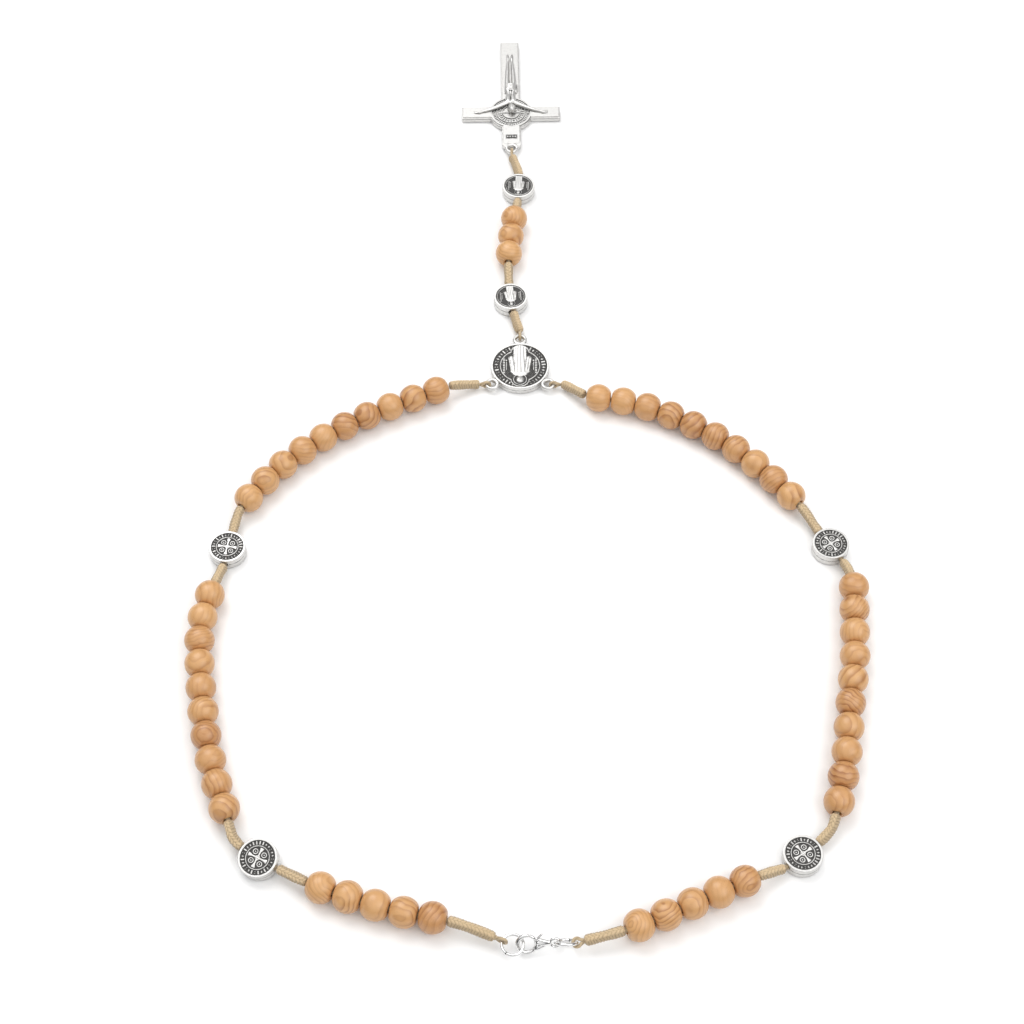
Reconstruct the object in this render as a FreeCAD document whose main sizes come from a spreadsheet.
import FreeCAD, Part
import Sketcher
import math
import os
from FreeCAD import Matrix, Placement, Rotation, Vector

# A corded rosary, laid out on a flat surface with its loop closed.
# +Y runs from the centre medal to the crucifix, +Z is up, and the origin is the middle of the
# centre medal's back, which rests on the surface.

doc = FreeCAD.newDocument("rosary")
sheet = doc.addObject("Spreadsheet::Sheet", "dims")

DRIVING_DIMENSIONS = [
    ("bead_diameter", 8.0, "wood bead, across its bore"),
    ("bead_length", 6.9, "wood bead, along its bore"),
    ("bead_face", 2.6, "flat face round each end of the bore"),
    ("bead_bore", 2.2, "bore of a wood bead"),
    ("bead_shoulder", 2.9, "from a bead's middle to where its shoulder starts"),
    ("bead_pitch", 7.2, "from one bead to the next on the cord"),
    ("cord_diameter", 1.4, "core cord"),
    ("knot_diameter", 3.0, "knotted sleeve round the core cord"),
    ("knot_bore", 1.6, "hole of the sleeve that the core cord fills"),
    ("knot_chamfer", 0.45, "worked-in end of a sleeve"),
    ("loop_major", 1.0, "middle line radius of a cord loop"),
    ("loop_minor", 0.35, "radius of the cord in a loop"),
    ("medal_diameter", 10.0, "medal bead"),
    ("medal_thickness", 3.5, "medal bead"),
    ("medal_rim", 0.7, "width of the raised rim of a medal bead"),
    ("medal_relief", 0.35, "depth of a medal bead's field"),
    ("medal_bore", 2.0, "cross hole of a medal bead"),
    ("centre_diameter", 16.9, "centre medal"),
    ("centre_thickness", 2.6, "centre medal"),
    ("centre_rim", 0.9, "width of the centre medal's rim"),
    ("centre_relief", 0.4, "depth of the centre medal's field"),
    ("lug_reach", 10.3, "from the centre medal's middle to a lug's middle"),
    ("lug_major", 1.6, "middle line radius of a lug"),
    ("lug_minor", 0.5, "wire radius of a lug"),
    ("lug_line", -6.3, "place along Y of the line through both side cords"),
    ("lug_level", 1.6, "height of the lugs above the surface"),
    ("cross_length", 50.0, "crucifix, from the eyelet's wire to the foot"),
    ("cross_span", 31.5, "across the arms"),
    ("cross_width", 6.0, "upright"),
    ("cross_arm", 5.0, "arm, across"),
    ("cross_arm_place", 17.5, "from the eyelet's wire to the middle of the arms"),
    ("cross_thickness", 2.2, "crucifix plate"),
    ("cross_disc", 13.8, "disc behind the head"),
    ("eyelet_level", 1.5, "height of the eyelet's wire above the surface"),
    ("ring_major", 2.65, "middle line radius of a jump ring"),
    ("ring_minor", 0.4, "wire radius of a jump ring"),
    ("clasp_outer", 2.9, "outer radius of the hook"),
    ("clasp_inner", 1.75, "inner radius of the hook"),
    ("clasp_thickness", 1.3, "clasp body"),
    ("clasp_length", 6.8, "from the hook's middle to the tail eye's middle"),
    ("clasp_eye_outer", 1.5, "outer radius of the tail eye"),
    ("clasp_eye_hole", 0.85, "radius of the tail eye's hole"),
    ("pin_diameter", 0.5, "pivot pin of the lever"),
    ("pin_fit", 0.06, "play of the lever on its pin, in diameter"),
    ("lever_thickness", 0.6, "lever"),
    ("slot_width", 0.8, "slot of the clasp body that the lever works in"),
]
for row, (alias, value, meaning) in enumerate(DRIVING_DIMENSIONS, start=1):
    sheet.set(f"A{row}", meaning)
    sheet.set(f"B{row}", str(value))
    sheet.setAlias(f"B{row}", alias)
doc.recompute()


def dim(alias):
    return float(sheet.get(alias))


SUB_PARTS = []


def sub_part(obj, label):
    """Names an object as one of the sub-parts that are written out."""
    obj.Label = label
    SUB_PARTS.append(obj)
    return obj


def bind(obj, **cells):
    """Binds properties of an object to cells of the sheet: bind(box, Length="bead_pitch")."""
    for name, expression in cells.items():
        obj.setExpression(name, expression)
    return obj


def feature(label, shape, place=None):
    """A sub-part whose shape is worked out here, with its own Placement."""
    obj = doc.addObject("Part::Feature", label)
    obj.Shape = shape
    obj.Placement = place or Placement()
    return sub_part(obj, label)


# Cord routes ----------------------------------------------------------------------------------

X_AXIS, Y_AXIS, Z_AXIS = Vector(1, 0, 0), Vector(0, 1, 0), Vector(0, 0, 1)
ARC_SHARE = 0.45  # part of the shorter run that an arc takes up


def route_edges(points):
    """Straight runs joined by tangent arcs, through a list of points."""
    points = [Vector(*p) for p in points]
    edges, radii = [], []
    here = points[0]
    for before, corner, after in zip(points, points[1:], points[2:]):
        back = (before - corner).normalize()
        ahead = (after - corner).normalize()
        turn = math.pi - back.getAngle(ahead)
        reach = ARC_SHARE * min((before - corner).Length, (after - corner).Length)
        radius = reach / math.tan(turn / 2)
        radii.append(radius)
        start = corner + back * reach
        end = corner + ahead * reach
        middle_way = (back + ahead).normalize()
        centre = corner + middle_way * (radius / math.cos(turn / 2))
        edges.append(Part.LineSegment(here, start).toShape())
        edges.append(Part.Arc(start, centre - middle_way * radius, end).toShape())
        here = end
    edges.append(Part.LineSegment(here, points[-1]).toShape())
    return edges, radii


def route_length(edges):
    return sum(e.Length for e in edges)


def station(edges, distance):
    """The point and the direction at a distance along a route."""
    for edge in edges:
        if distance <= edge.Length or edge is edges[-1]:
            parameter = edge.getParameterByLength(min(distance, edge.Length))
            return edge.valueAt(parameter), edge.tangentAt(parameter).normalize()
        distance -= edge.Length


def stretch(edges, start, end):
    """The edges of a route between two distances along it."""
    kept = []
    passed = 0.0
    for edge in edges:
        low = max(start - passed, 0.0)
        high = min(end - passed, edge.Length)
        if high - low > 1e-6:
            first = edge.getParameterByLength(low)
            last = edge.getParameterByLength(high)
            kept.append(edge.Curve.toShape(first, last))
        passed += edge.Length
    return kept


def tube(edges, diameter):
    """A round cord along a stretch of route."""
    direction = edges[0].tangentAt(edges[0].FirstParameter)
    circle = Part.Edge(Part.Circle(edges[0].valueAt(edges[0].FirstParameter), direction, diameter / 2))
    solid = Part.Wire(edges).makePipeShell([Part.Wire(circle)], True, True)
    expected = math.pi * diameter**2 / 4 * route_length(edges)
    assert abs(solid.Volume - expected) < 0.02 * expected, "cord volume"
    return solid


def sleeve(edges):
    """A knotted sleeve: a round tube round the core cord, with its ends worked in."""
    outer = tube(edges, dim("knot_diameter"))
    rims = [e for e in outer.Edges if e.Closed and abs(e.Length - math.pi * dim("knot_diameter")) < 0.01]
    ends = (edges[0].valueAt(edges[0].FirstParameter), edges[-1].valueAt(edges[-1].LastParameter))
    rims = [e for e in rims if min(e.CenterOfMass.distanceToPoint(p) for p in ends) < 0.01]
    outer = outer.makeChamfer(dim("knot_chamfer"), rims)
    return outer.cut(tube(edges, dim("knot_bore")))


def along(point, direction, facing=Z_AXIS):
    """A placement at a point with local X along a direction and local Z as near to facing as it goes."""
    x = Vector(direction).normalize()
    y = facing.cross(x).normalize()
    z = x.cross(y)
    frame = Matrix(x.x, y.x, z.x, point.x, x.y, y.y, z.y, point.y, x.z, y.z, z.z, point.z, 0, 0, 0, 1)
    return Placement(frame)


# Solids bound to the sheet ----------------------------------------------------------------------


def solid(kind, place=None, **cells):
    """A Part primitive with its sizes bound to the sheet."""
    obj = bind(doc.addObject(kind, kind.split("::")[1].lower()), **cells)
    obj.Placement = place or Placement()
    return obj


def fuse(*shapes):
    obj = doc.addObject("Part::MultiFuse", "fused")
    obj.Shapes = list(shapes)
    return obj


def cut(base, tool):
    obj = doc.addObject("Part::Cut", "cut")
    obj.Base = base
    obj.Tool = tool
    return obj


def shifted(x=0.0, y=0.0, z=0.0, axis=Vector(0, 0, 1), degrees=0.0):
    return Placement(Vector(x, y, z), Rotation(axis, degrees))


# Wood beads -------------------------------------------------------------------------------------


def origin_plane(body, role):
    return next(f for f in body.Origin.OriginFeatures if f.Role == role)


def hold(sketch, kind, places, name, expression):
    """Adds a dimension to a sketch and binds it to the sheet."""
    number = sketch.addConstraint(Sketcher.Constraint(kind, *places, BEAD_START[name]))
    sketch.renameConstraint(number, name)
    sketch.setExpression(f"Constraints.{name}", expression)


BEAD_START = {
    "round": dim("bead_diameter") / 2,
    "half": dim("bead_length") / 2,
    "half_back": dim("bead_length") / 2,
    "face": dim("bead_face") / 2,
    "face_back": dim("bead_face") / 2,
    "bore": dim("bead_bore") / 2,
    "shoulder": dim("bead_shoulder"),
    "shoulder_back": dim("bead_shoulder"),
}


def bead(label=None, place=None):
    """A turned wood bead: a ball with coned shoulders, a flat face at each end and a bore along X."""
    body = doc.addObject("PartDesign::Body", label or "bead_master")
    sketch = body.newObject("Sketcher::SketchObject", "profile")
    sketch.AttachmentSupport = [(origin_plane(body, "XY_Plane"), "")]
    sketch.MapMode = "FlatFace"
    size = BEAD_START
    edge = math.acos(size["shoulder"] / size["round"])
    corners = [
        Vector(size["shoulder"], size["round"] * math.sin(edge), 0),
        Vector(size["half"], size["face"], 0),
        Vector(size["half"], size["bore"], 0),
        Vector(-size["half"], size["bore"], 0),
        Vector(-size["half"], size["face"], 0),
        Vector(-size["shoulder"], size["round"] * math.sin(edge), 0),
    ]
    ball = Part.Circle(Vector(), Vector(0, 0, 1), size["round"])
    sketch.addGeometry(Part.ArcOfCircle(ball, edge, math.pi - edge), False)
    for start, end in zip(corners, corners[1:]):
        sketch.addGeometry(Part.LineSegment(start, end), False)
    sketch.addConstraint(Sketcher.Constraint("Coincident", 0, 3, -1, 1))
    for joined in ((0, 1, 1, 1), (1, 2, 2, 1), (2, 2, 3, 1), (3, 2, 4, 1), (4, 2, 5, 1), (5, 2, 0, 2)):
        sketch.addConstraint(Sketcher.Constraint("Coincident", *joined))
    for upright in (2, 4):
        sketch.addConstraint(Sketcher.Constraint("Vertical", upright))
    sketch.addConstraint(Sketcher.Constraint("Horizontal", 3))
    hold(sketch, "Radius", (0,), "round", "dims.bead_diameter / 2")
    hold(sketch, "DistanceX", (-1, 1, 2, 1), "half", "dims.bead_length / 2")
    hold(sketch, "DistanceX", (4, 1, -1, 1), "half_back", "dims.bead_length / 2")
    hold(sketch, "DistanceY", (-1, 1, 2, 1), "face", "dims.bead_face / 2")
    hold(sketch, "DistanceY", (-1, 1, 4, 2), "face_back", "dims.bead_face / 2")
    hold(sketch, "DistanceY", (-1, 1, 3, 1), "bore", "dims.bead_bore / 2")
    hold(sketch, "DistanceX", (-1, 1, 1, 1), "shoulder", "dims.bead_shoulder")
    hold(sketch, "DistanceX", (5, 2, -1, 1), "shoulder_back", "dims.bead_shoulder")
    turned = body.newObject("PartDesign::Revolution", "turned")
    turned.Profile = sketch
    turned.ReferenceAxis = (sketch, ["H_Axis"])
    turned.Angle = 360
    if label:
        body.Placement = place
        sub_part(body, label)
    return body


def bead_place(edges, distance):
    """Where a bead sits: its bore lies along the cord between the bead's two faces."""
    half = dim("bead_length") / 2
    start, _ = station(edges, distance - half)
    end, _ = station(edges, distance + half)
    return along((start + end) * 0.5, end - start)


# Medal beads ------------------------------------------------------------------------------------


def medal(label, place):
    """A round medal bead, flat in its local XY plane, with its cross hole along local X."""
    thickness, relief = dim("medal_thickness"), dim("medal_relief")
    disc = solid("Part::Cylinder", shifted(z=-thickness / 2), Radius="dims.medal_diameter / 2",
                 Height="dims.medal_thickness")
    field = "dims.medal_diameter / 2 - dims.medal_rim"
    fields = fuse(
        solid("Part::Cylinder", shifted(z=thickness / 2 - relief), Radius=field,
              Height="dims.medal_relief + 1"),
        solid("Part::Cylinder", shifted(z=-thickness / 2 - 1), Radius=field,
              Height="dims.medal_relief + 1"),
        solid("Part::Cylinder", shifted(x=-dim("medal_diameter"), axis=Y_AXIS, degrees=90),
              Radius="dims.medal_bore / 2", Height="dims.medal_diameter * 2"),
    )
    whole = cut(disc, fields)
    whole.Placement = place
    return sub_part(whole, label)


# Centre medal -----------------------------------------------------------------------------------


def lug_middles():
    """The middles of the three lugs: the side ones stand on the line of the side cords."""
    side = math.sqrt(dim("lug_reach") ** 2 - dim("lug_line") ** 2)
    return {
        "left": Vector(-side, dim("lug_line"), dim("lug_level")),
        "right": Vector(side, dim("lug_line"), dim("lug_level")),
        "top": Vector(0, dim("lug_reach"), dim("lug_level")),
    }


def centre_medal():
    """A disc with a flat back, a sunk field on its face and three lugs."""
    thickness, relief = dim("centre_thickness"), dim("centre_relief")
    disc = solid("Part::Cylinder", Radius="dims.centre_diameter / 2", Height="dims.centre_thickness")
    field = "dims.centre_diameter / 2 - dims.centre_rim"
    face = solid("Part::Cylinder", shifted(z=thickness - relief), Radius=field,
                 Height="dims.centre_relief + 1")
    lugs = [
        solid("Part::Torus", Placement(middle, Rotation()), Radius1="dims.lug_major",
              Radius2="dims.lug_minor")
        for middle in lug_middles().values()
    ]
    return sub_part(fuse(cut(disc, face), *lugs), "centre_medal")


# Cord loops -------------------------------------------------------------------------------------

LOOP_NECK = 0.4  # cord between a loop and the knot that closes it
LOOP_REACH = dim("loop_major") + dim("loop_minor") + LOOP_NECK  # from a wire's middle to the knot


def loop_shape(middle, towards, axis):
    """A closed loop of thin cord round a wire that runs along axis, with a neck towards its knot."""
    ring = Part.makeTorus(dim("loop_major"), dim("loop_minor"), middle, axis)
    near = dim("loop_major")
    neck = Part.makeCylinder(dim("cord_diameter") / 2, LOOP_REACH - near, middle + towards * near, towards)
    eye = Part.makeCylinder(near, 2 * dim("cord_diameter"), middle - axis * dim("cord_diameter"), axis)
    return ring.fuse(neck.cut(eye))


# Strands ----------------------------------------------------------------------------------------
# Every stretch of a strand is one length of core cord with what is threaded on it. It is listed as
# its route and the things on it in order: ("knot", name, length), ("beads", name, count),
# ("medal", name, lean in degrees), ("gap", None, length). A route's points lie at bore height: 4 mm for
# beads that rest on the surface, 1.75 mm for medal beads that lie flat.


def strand(name, route, pieces, loops=()):
    """Threads pieces on a stretch of core cord, which may end in loops round wires."""
    edges, radii = route_edges(route)
    print(name, "length %.1f, radii" % route_length(edges), " ".join("%.0f" % r for r in radii))
    core = tube(edges, dim("cord_diameter"))
    for loop in loops:
        core = core.fuse(loop_shape(*loop))
    feature(name, core)
    distance = 0.0
    for kind, what, size in pieces:
        if kind == "knot":
            feature(what, sleeve(stretch(edges, distance, distance + size)))
            distance += size
        elif kind == "beads":
            distance = thread_beads(edges, distance, what, size)
        elif kind == "medal":
            distance += dim("medal_diameter") / 2
            point, direction = station(edges, distance)
            medal(what, along(point, direction, Rotation(direction, size).multVec(Z_AXIS)))
            distance += dim("medal_diameter") / 2
        else:
            distance += size
    print("    cord beyond the last piece: %.2f" % (route_length(edges) - distance))


def thread_beads(edges, distance, what, count):
    """Threads beads one after another: a node each when what ends in _, else one node for them all."""
    pitch = dim("bead_pitch")
    places = [bead_place(edges, distance + pitch * (i + 0.5)) for i in range(count)]
    if what.endswith("_"):
        for i, place in enumerate(places, start=1):
            bead(f"{what}{i}", place)
    else:
        copies = []
        for place in places:
            copy = MASTER_BEAD.Shape.copy()
            copy.Placement = place
            copies.append(copy)
        feature(what, Part.makeCompound(copies))
    return distance + pitch * count


MASTER_BEAD = bead()
doc.recompute()

# Wires that the strands' end loops go round.
UPWARDS, DOWNWARDS = Vector(0, 1, 0), Vector(0, -1, 0)
SIDEWAYS = {"left": Vector(-1, 0, 0), "right": Vector(1, 0, 0)}
SIDE_LUG_WIRES = {side: lug_middles()[side] + way * dim("lug_major") for side, way in SIDEWAYS.items()}
TOP_LUG_WIRE = lug_middles()["top"] + UPWARDS * dim("lug_major")
EYELET_WIRE = Vector(-2.4, 87.3, dim("eyelet_level"))

RING_LEFT_MIDDLE = Vector(-2.2, -178.8, 2.8)
LEFT_PULL = Vector(-0.92, 0.392, 0).normalize()
RING_LEFT_WIRE = RING_LEFT_MIDDLE + LEFT_PULL * dim("ring_major")
RING_LEFT_TANGENT = LEFT_PULL.cross(Vector(0, 0, 1))
RING_RIGHT_MIDDLE = Vector(10.7, -178.3, 3.0)
RING_RIGHT_LEAN = 125.0  # degrees from lying flat
RIGHT_PULL = Vector(0.97, 0.23, 0).normalize()
RING_RIGHT_WIRE = RING_RIGHT_MIDDLE + Vector(dim("ring_major"), 0, 0)
RING_RIGHT_TANGENT = Rotation(X_AXIS, RING_RIGHT_LEAN).multVec(Y_AXIS)
HOOK_MIDDLE = Vector(1.25, -178.6, 2.8)
CLASP_LEAN = 55.0  # degrees from lying flat
CLASP_FACING = Rotation(X_AXIS, CLASP_LEAN).multVec(Vector(0, 0, 1))

CLEAR = ("gap", None, 0.15)  # open cord between a knot and what does not bend away from it

# Left half of the loop.
strand("cord_left_1", [(-11.9, -6.3, 1.6), (-15.4, -6.7, 2.2), (-20.4, -8.6, 4.0)],
       [("knot", "knot_left_1", 9.1)])
strand("cord_left_2",
       [(-20.9, -8.9, 4.05), (-31.0, -13.3, 4.0), (-44.0, -19.3, 4.0), (-56.0, -27.0, 4.0),
        (-66.8, -36.3, 4.0), (-77.3, -50.3, 4.2), (-79.2, -56.4, 1.75), (-80.9, -69.0, 1.75)],
       [("beads", "beads_upper_left", 10), CLEAR, ("knot", "knot_left_2", 8.2), CLEAR,
        ("medal", "medal_upper_left", 0.0)])
strand("cord_left_3",
       [(-81.0, -69.4, 1.75), (-82.8, -77.0, 4.3), (-85.7, -89.0, 4.0), (-84.4, -102.0, 4.0),
        (-82.3, -116.0, 4.0), (-79.3, -130.0, 4.0), (-73.2, -146.8, 4.2), (-71.0, -153.4, 2.8),
        (-60.4, -158.8, 2.8)],
       [("knot", "knot_left_3", 7.4), CLEAR, ("beads", "beads_lower_left", 10), CLEAR,
        ("knot", "knot_left_4", 8.05), ("gap", None, 0.5), ("medal", "medal_lower_left", 12.0)])
strand("cord_left_4",
       [(-60.0, -159.0, 2.8), (-51.6, -163.9, 4.2), (-40.5, -167.7, 4.0), (-27.5, -171.5, 4.0),
        (-15.6, -173.3, 4.1), (-6.25, -177.05, 2.8)],
       [("knot", "knot_left_5", 8.5), CLEAR, ("beads", "bead_clasp_left_", 5), CLEAR,
        ("knot", "knot_left_6", 12.0)],
       [(RING_LEFT_WIRE, LEFT_PULL, RING_LEFT_TANGENT)])

# Right half of the loop.
strand("cord_right_1", [(12.3, -6.1, 1.6), (15.0, -8.2, 2.4), (18.6, -11.9, 3.8)],
       [("knot", "knot_right_1", 8.7)])
strand("cord_right_2",
       [(19.0, -12.6, 4.0), (33.5, -14.6, 4.0), (46.5, -20.9, 4.0), (58.5, -28.6, 4.0),
        (69.2, -39.6, 4.0), (78.2, -51.4, 4.1), (81.9, -57.8, 1.75), (87.8, -67.5, 1.75)],
       [("beads", "beads_upper_right", 10), CLEAR, ("knot", "knot_right_2", 9.6), CLEAR,
        ("medal", "medal_upper_right", 0.0)])
strand("cord_right_3",
       [(88.0, -67.9, 1.75), (90.4, -74.5, 4.3), (88.8, -87.0, 4.0), (88.2, -99.5, 4.0),
        (85.3, -113.0, 4.0), (83.6, -126.0, 4.0), (79.0, -144.9, 4.2), (76.6, -150.3, 1.8),
        (65.3, -158.3, 1.8)],
       [("knot", "knot_right_3", 6.4), CLEAR, ("beads", "beads_lower_right", 10), CLEAR,
        ("knot", "knot_right_4", 9.0), ("gap", None, 0.5), ("medal", "medal_lower_right", 0.0)])
strand("cord_right_4",
       [(64.95, -158.5, 1.8), (58.0, -161.4, 4.25), (45.0, -167.2, 4.0), (33.0, -172.6, 4.0),
        (24.5, -176.0, 4.1), (15.1, -177.9, 3.05)],
       [("knot", "knot_right_5", 7.6), CLEAR, ("beads", "bead_clasp_right_", 5), CLEAR,
        ("knot", "knot_right_6", 10.0)],
       [(RING_RIGHT_WIRE, RIGHT_PULL, RING_RIGHT_TANGENT)])

# Drop, from the centre medal to the crucifix.
strand("cord_drop_1", [(0.0, 13.65, 1.6), (-2.2, 20.0, 1.75), (-3.2, 30.9, 1.75)],
       [("knot", "knot_drop_1", 7.4), CLEAR, ("medal", "medal_drop_1", 0.0)],
       [(TOP_LUG_WIRE, UPWARDS, X_AXIS)])
strand("cord_drop_2",
       [(-3.25, 31.3, 1.75), (-3.6, 39.2, 4.25), (-2.7, 50.3, 4.0), (-1.0, 61.0, 4.2),
        (-0.5, 66.2, 1.75), (-0.1, 76.4, 1.75)],
       [("knot", "knot_drop_2", 7.6), CLEAR, ("beads", "bead_drop_", 3), CLEAR,
        ("knot", "knot_drop_3", 5.6), ("gap", None, 0.6), ("medal", "medal_drop_2", 0.0)])
strand("cord_drop_3", [(-0.05, 76.8, 1.75), (-0.8, 81.3, 1.6), (-2.4, 85.55, 1.5)],
       [("knot", "knot_drop_4", 8.9)],
       [(EYELET_WIRE, DOWNWARDS, X_AXIS)])

# Cord loops that stay in the side lugs of the centre medal.
side_loops = [loop_shape(SIDE_LUG_WIRES[side], way, Y_AXIS) for side, way in SIDEWAYS.items()]
feature("cord_side_loops", Part.makeCompound(side_loops))

# Crucifix ---------------------------------------------------------------------------------------
# Local frame: the origin is the middle of the eyelet's wire, +Y runs to the foot.

CRUCIFIX_TURN = 0.9  # degrees
CAST_CLEARANCE = 0.05  # the crucifix's back above the surface
FIGURE_SINK = 0.3  # the figure's middle line below the face of the cross
HEAD_RADIUS = 1.3
HEAD_PLACE = -0.3  # these places run from the middle of the arms towards the foot
SHOULDER_PLACE, HIP_PLACE, FOOT_PLACE = 2.2, 11.0, 27.0
SHOULDER_RADIUS, WAIST_RADIUS, FOOT_RADIUS = 1.8, 1.3, 0.8
ARM_RADIUS = 0.6
ARM_ROOT, HAND_REACH, HAND_RISE = 1.0, 11.0, 0.4


def rod(kind, start, end, **sizes):
    """A cylinder or a cone from one point to another."""
    obj = solid(kind, Placement(start, Rotation(Z_AXIS, end - start)), **sizes)
    obj.Height = (end - start).Length
    return obj


def crucifix():
    """One casting: upright, arms, disc, eyelet, and a plain raised figure."""
    under = -dim("eyelet_level") + CAST_CLEARANCE
    top = under + dim("cross_thickness")
    place, width = dim("cross_arm_place"), dim("cross_width")
    level = top - FIGURE_SINK

    def on_figure(x, y):
        return Vector(x, place + y, level)

    pieces = [
        solid("Part::Torus", shifted(y=dim("lug_major")), Radius1="dims.lug_major",
              Radius2="dims.lug_minor"),
        solid("Part::Box", shifted(x=-width / 2, y=2 * dim("lug_major"), z=under), Length="dims.cross_width",
              Width="dims.cross_length - 2 * dims.lug_major", Height="dims.cross_thickness"),
        solid("Part::Box", shifted(x=-dim("cross_span") / 2, y=place - dim("cross_arm") / 2, z=under),
              Length="dims.cross_span", Width="dims.cross_arm", Height="dims.cross_thickness"),
        solid("Part::Cylinder", shifted(y=place, z=under), Radius="dims.cross_disc / 2",
              Height="dims.cross_thickness"),
        solid("Part::Sphere", Placement(on_figure(0, HEAD_PLACE), Rotation()), Radius=str(HEAD_RADIUS)),
        rod("Part::Cone", on_figure(0, HIP_PLACE), on_figure(0, SHOULDER_PLACE), Radius1=str(WAIST_RADIUS),
            Radius2=str(SHOULDER_RADIUS)),
        rod("Part::Cone", on_figure(0, FOOT_PLACE), on_figure(0, HIP_PLACE - 1), Radius1=str(FOOT_RADIUS),
            Radius2=str(WAIST_RADIUS - 0.1)),
    ]
    for side in (1, -1):
        shoulder = on_figure(side * ARM_ROOT, SHOULDER_PLACE + ARM_RADIUS)
        pieces.append(rod("Part::Cylinder", shoulder, on_figure(side * HAND_REACH, -HAND_RISE),
                          Radius=str(ARM_RADIUS)))
    whole = fuse(*pieces)
    whole.Placement = Placement(EYELET_WIRE, Rotation(Z_AXIS, CRUCIFIX_TURN))
    return sub_part(whole, "crucifix")


crucifix()
centre_medal()

# Jump rings -------------------------------------------------------------------------------------


def jump_ring(label, place):
    ring = solid("Part::Torus", place, Radius1="dims.ring_major", Radius2="dims.ring_minor")
    return sub_part(ring, label)


jump_ring("jump_ring_left", Placement(RING_LEFT_MIDDLE, Rotation()))
jump_ring("jump_ring_right", Placement(RING_RIGHT_MIDDLE, Rotation(X_AXIS, RING_RIGHT_LEAN)))

# Lobster clasp ----------------------------------------------------------------------------------
# Local frame: the origin is the middle of the hook, +X runs to the tail eye, Z is across the plate.

PIVOT = Vector(2.45, 0.95, 0)
GATE_FROM, GATE_TO = 27.0, 84.0  # degrees round the hook that the lever closes
LEVER_ROOT = 0.7  # radius of the lever round its pin
LEVER_CLEARANCE = 0.3  # between the lever's root and the end of its slot
GATE_INSET = 0.1  # the lever's faces inside the hook's
GATE_GAP = 2.0  # degrees between the lever's tip and the hook's nose
TIP_CLEARANCE = 0.15  # round the tip's path, in the notch of the nose that it swings through
SPRING_START = Vector(3.25, 0.75, 0)
SPRING_RADIUS, SPRING_WIRE = 0.2, 0.06
SPRING_LENGTH, SPRING_PITCH = 0.9, 0.25
CLASP_PLACE = along(HOOK_MIDDLE, RING_RIGHT_MIDDLE - X_AXIS * dim("ring_major") - HOOK_MIDDLE, CLASP_FACING)


def plate(thickness, points):
    """A flat plate with straight sides, centred on the local XY plane."""
    corners = [Vector(x, y, -thickness / 2) for x, y in points + points[:1]]
    return Part.Face(Part.makePolygon(corners)).extrude(Vector(0, 0, thickness))


def disc(radius, thickness, middle=Vector()):
    return Part.makeCylinder(radius, thickness, middle - Vector(0, 0, thickness / 2))


def sector(start, end, radius, thickness):
    """A wedge of a disc between two angles in degrees."""
    wedge = Part.makeCylinder(radius, thickness, Vector(0, 0, -thickness / 2), Vector(0, 0, 1), end - start)
    wedge.rotate(Vector(), Vector(0, 0, 1), start)
    return wedge


def clasp_body():
    thickness, outer = dim("clasp_thickness"), dim("clasp_outer")
    tail = Vector(dim("clasp_length"), 0, 0)
    web = plate(thickness, [(1.6, -2.3), (tail.x - 1.0, -0.85), (tail.x - 1.0, 0.85), (1.6, 2.3)])
    shape = disc(outer, thickness).fuse([web, disc(dim("clasp_eye_outer"), thickness, tail)])
    shape = shape.cut(disc(dim("clasp_inner"), 2 * thickness))
    shape = shape.cut(disc(dim("clasp_eye_hole"), 2 * thickness, tail))
    shape = shape.cut(sector(GATE_FROM, GATE_TO, 2 * outer, 2 * thickness))
    root = LEVER_ROOT + LEVER_CLEARANCE
    slot = disc(root, dim("slot_width"), PIVOT)
    way_in = plate(dim("slot_width"), [(PIVOT.x - root, PIVOT.y), (PIVOT.x + root, PIVOT.y),
                                       (PIVOT.x + root, 3.0), (PIVOT.x - root, 3.0)])
    tip_angle = math.radians(GATE_TO - GATE_GAP)
    tip = Vector(math.cos(tip_angle), math.sin(tip_angle), 0) * (outer - GATE_INSET)
    path = disc((tip - PIVOT).Length + TIP_CLEARANCE, dim("slot_width"), PIVOT)
    notch = path.common(plate(dim("slot_width"), [(-0.8, 1.5), (0.8, 1.5), (0.8, 3.0), (-0.8, 3.0)]))
    shape = shape.cut([slot, way_in, notch, disc(dim("pin_diameter") / 2, 2 * thickness, PIVOT)])
    pocket = Part.makeCylinder(SPRING_RADIUS + 0.1, SPRING_LENGTH + 0.3, SPRING_START, X_AXIS)
    return feature("clasp_body", shape.cut(pocket), CLASP_PLACE)


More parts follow.
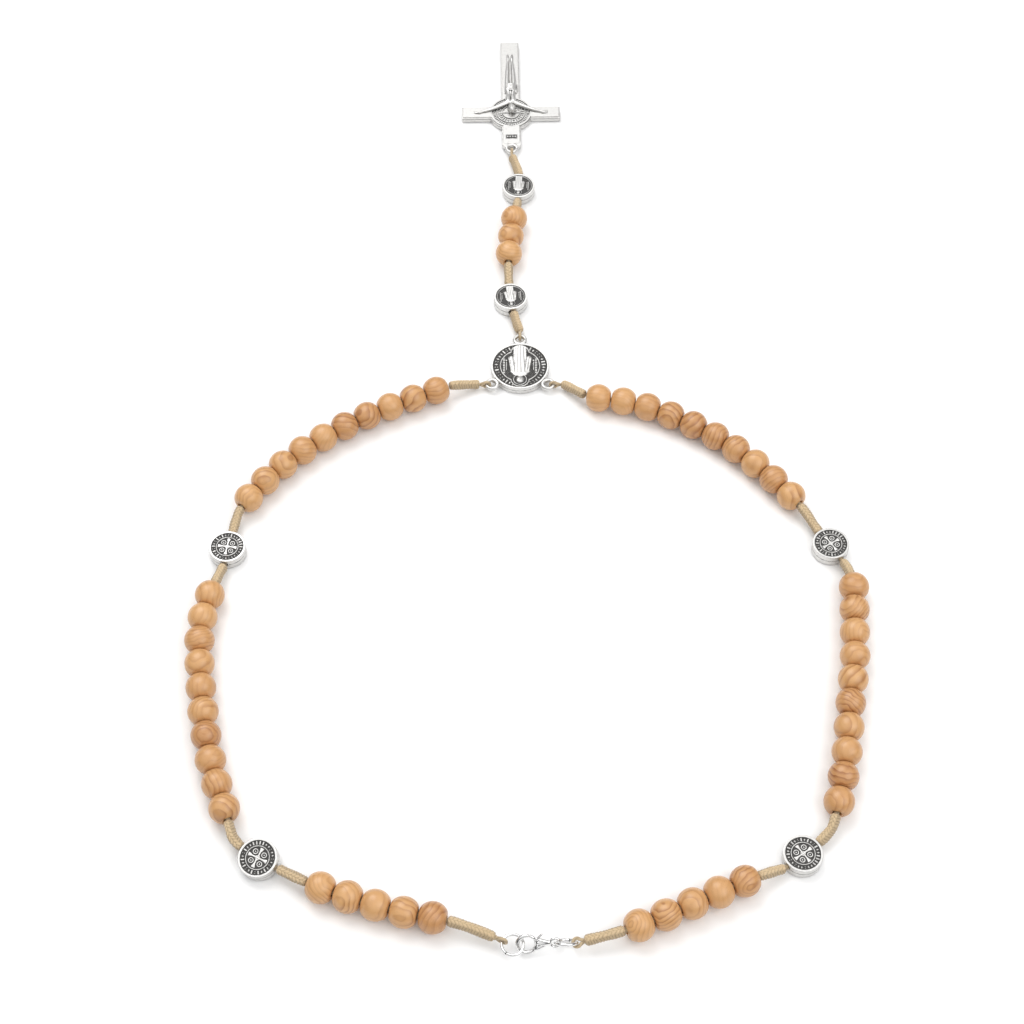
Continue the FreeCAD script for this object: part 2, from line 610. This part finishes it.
def clasp_lever():
    """The sprung gate of the hook, with its root on the pin and a thumb tab."""
    thickness, outer, inner = dim("lever_thickness"), dim("clasp_outer"), dim("clasp_inner")
    gate = disc(outer - GATE_INSET, thickness).cut(disc(inner + GATE_INSET, 2 * thickness))
    gate = gate.common(sector(GATE_FROM - 8, GATE_TO - GATE_GAP, 2 * outer, thickness))
    tab = plate(thickness, [(2.2, 1.6), (2.9, 1.4), (3.9, 2.3), (3.6, 2.8)])
    lever = gate.fuse([disc(LEVER_ROOT, thickness, PIVOT), tab])
    hole = (dim("pin_diameter") + dim("pin_fit")) / 2
    return feature("clasp_lever", lever.cut(disc(hole, 2 * thickness, PIVOT)), CLASP_PLACE)


def clasp_pin():
    pin = solid("Part::Cylinder", Radius="dims.pin_diameter / 2", Height="dims.clasp_thickness")
    foot = PIVOT - Z_AXIS * (dim("clasp_thickness") / 2)
    pin.Placement = CLASP_PLACE.multiply(Placement(foot, Rotation()))
    return sub_part(pin, "clasp_pin")


def clasp_spring():
    """The small coil in the body that pushes the lever's root."""
    helix = Part.makeHelix(SPRING_PITCH, SPRING_LENGTH, SPRING_RADIUS)
    wire = Part.Wire(Part.makeCircle(SPRING_WIRE, Vector(SPRING_RADIUS, 0, 0), Vector(0, 1, 0)))
    coil = Part.Wire(helix.Edges).makePipeShell([wire], True, True)
    coil.Placement = Placement(SPRING_START, Rotation(Z_AXIS, X_AXIS))
    return feature("clasp_spring", Part.makeCompound([coil]).Solids[0], CLASP_PLACE.multiply(coil.Placement))


clasp_body()
clasp_lever()
clasp_pin()
clasp_spring()

# Checking and writing -----------------------------------------------------------------------------

doc.recompute()
for obj in doc.Objects:
    assert not {"Invalid", "Error"} & set(obj.State), f"{obj.Label} failed"
os.makedirs("parts", exist_ok=True)
for part in SUB_PARTS:
    assert not part.Shape.isNull() and part.Shape.isValid(), f"{part.Label} is not a valid shape"
    assert part.Shape.Solids, f"{part.Label} has no solid"
    part.Shape.exportStep(f"parts/{part.Label}.step")
print(len(SUB_PARTS), "sub-parts")
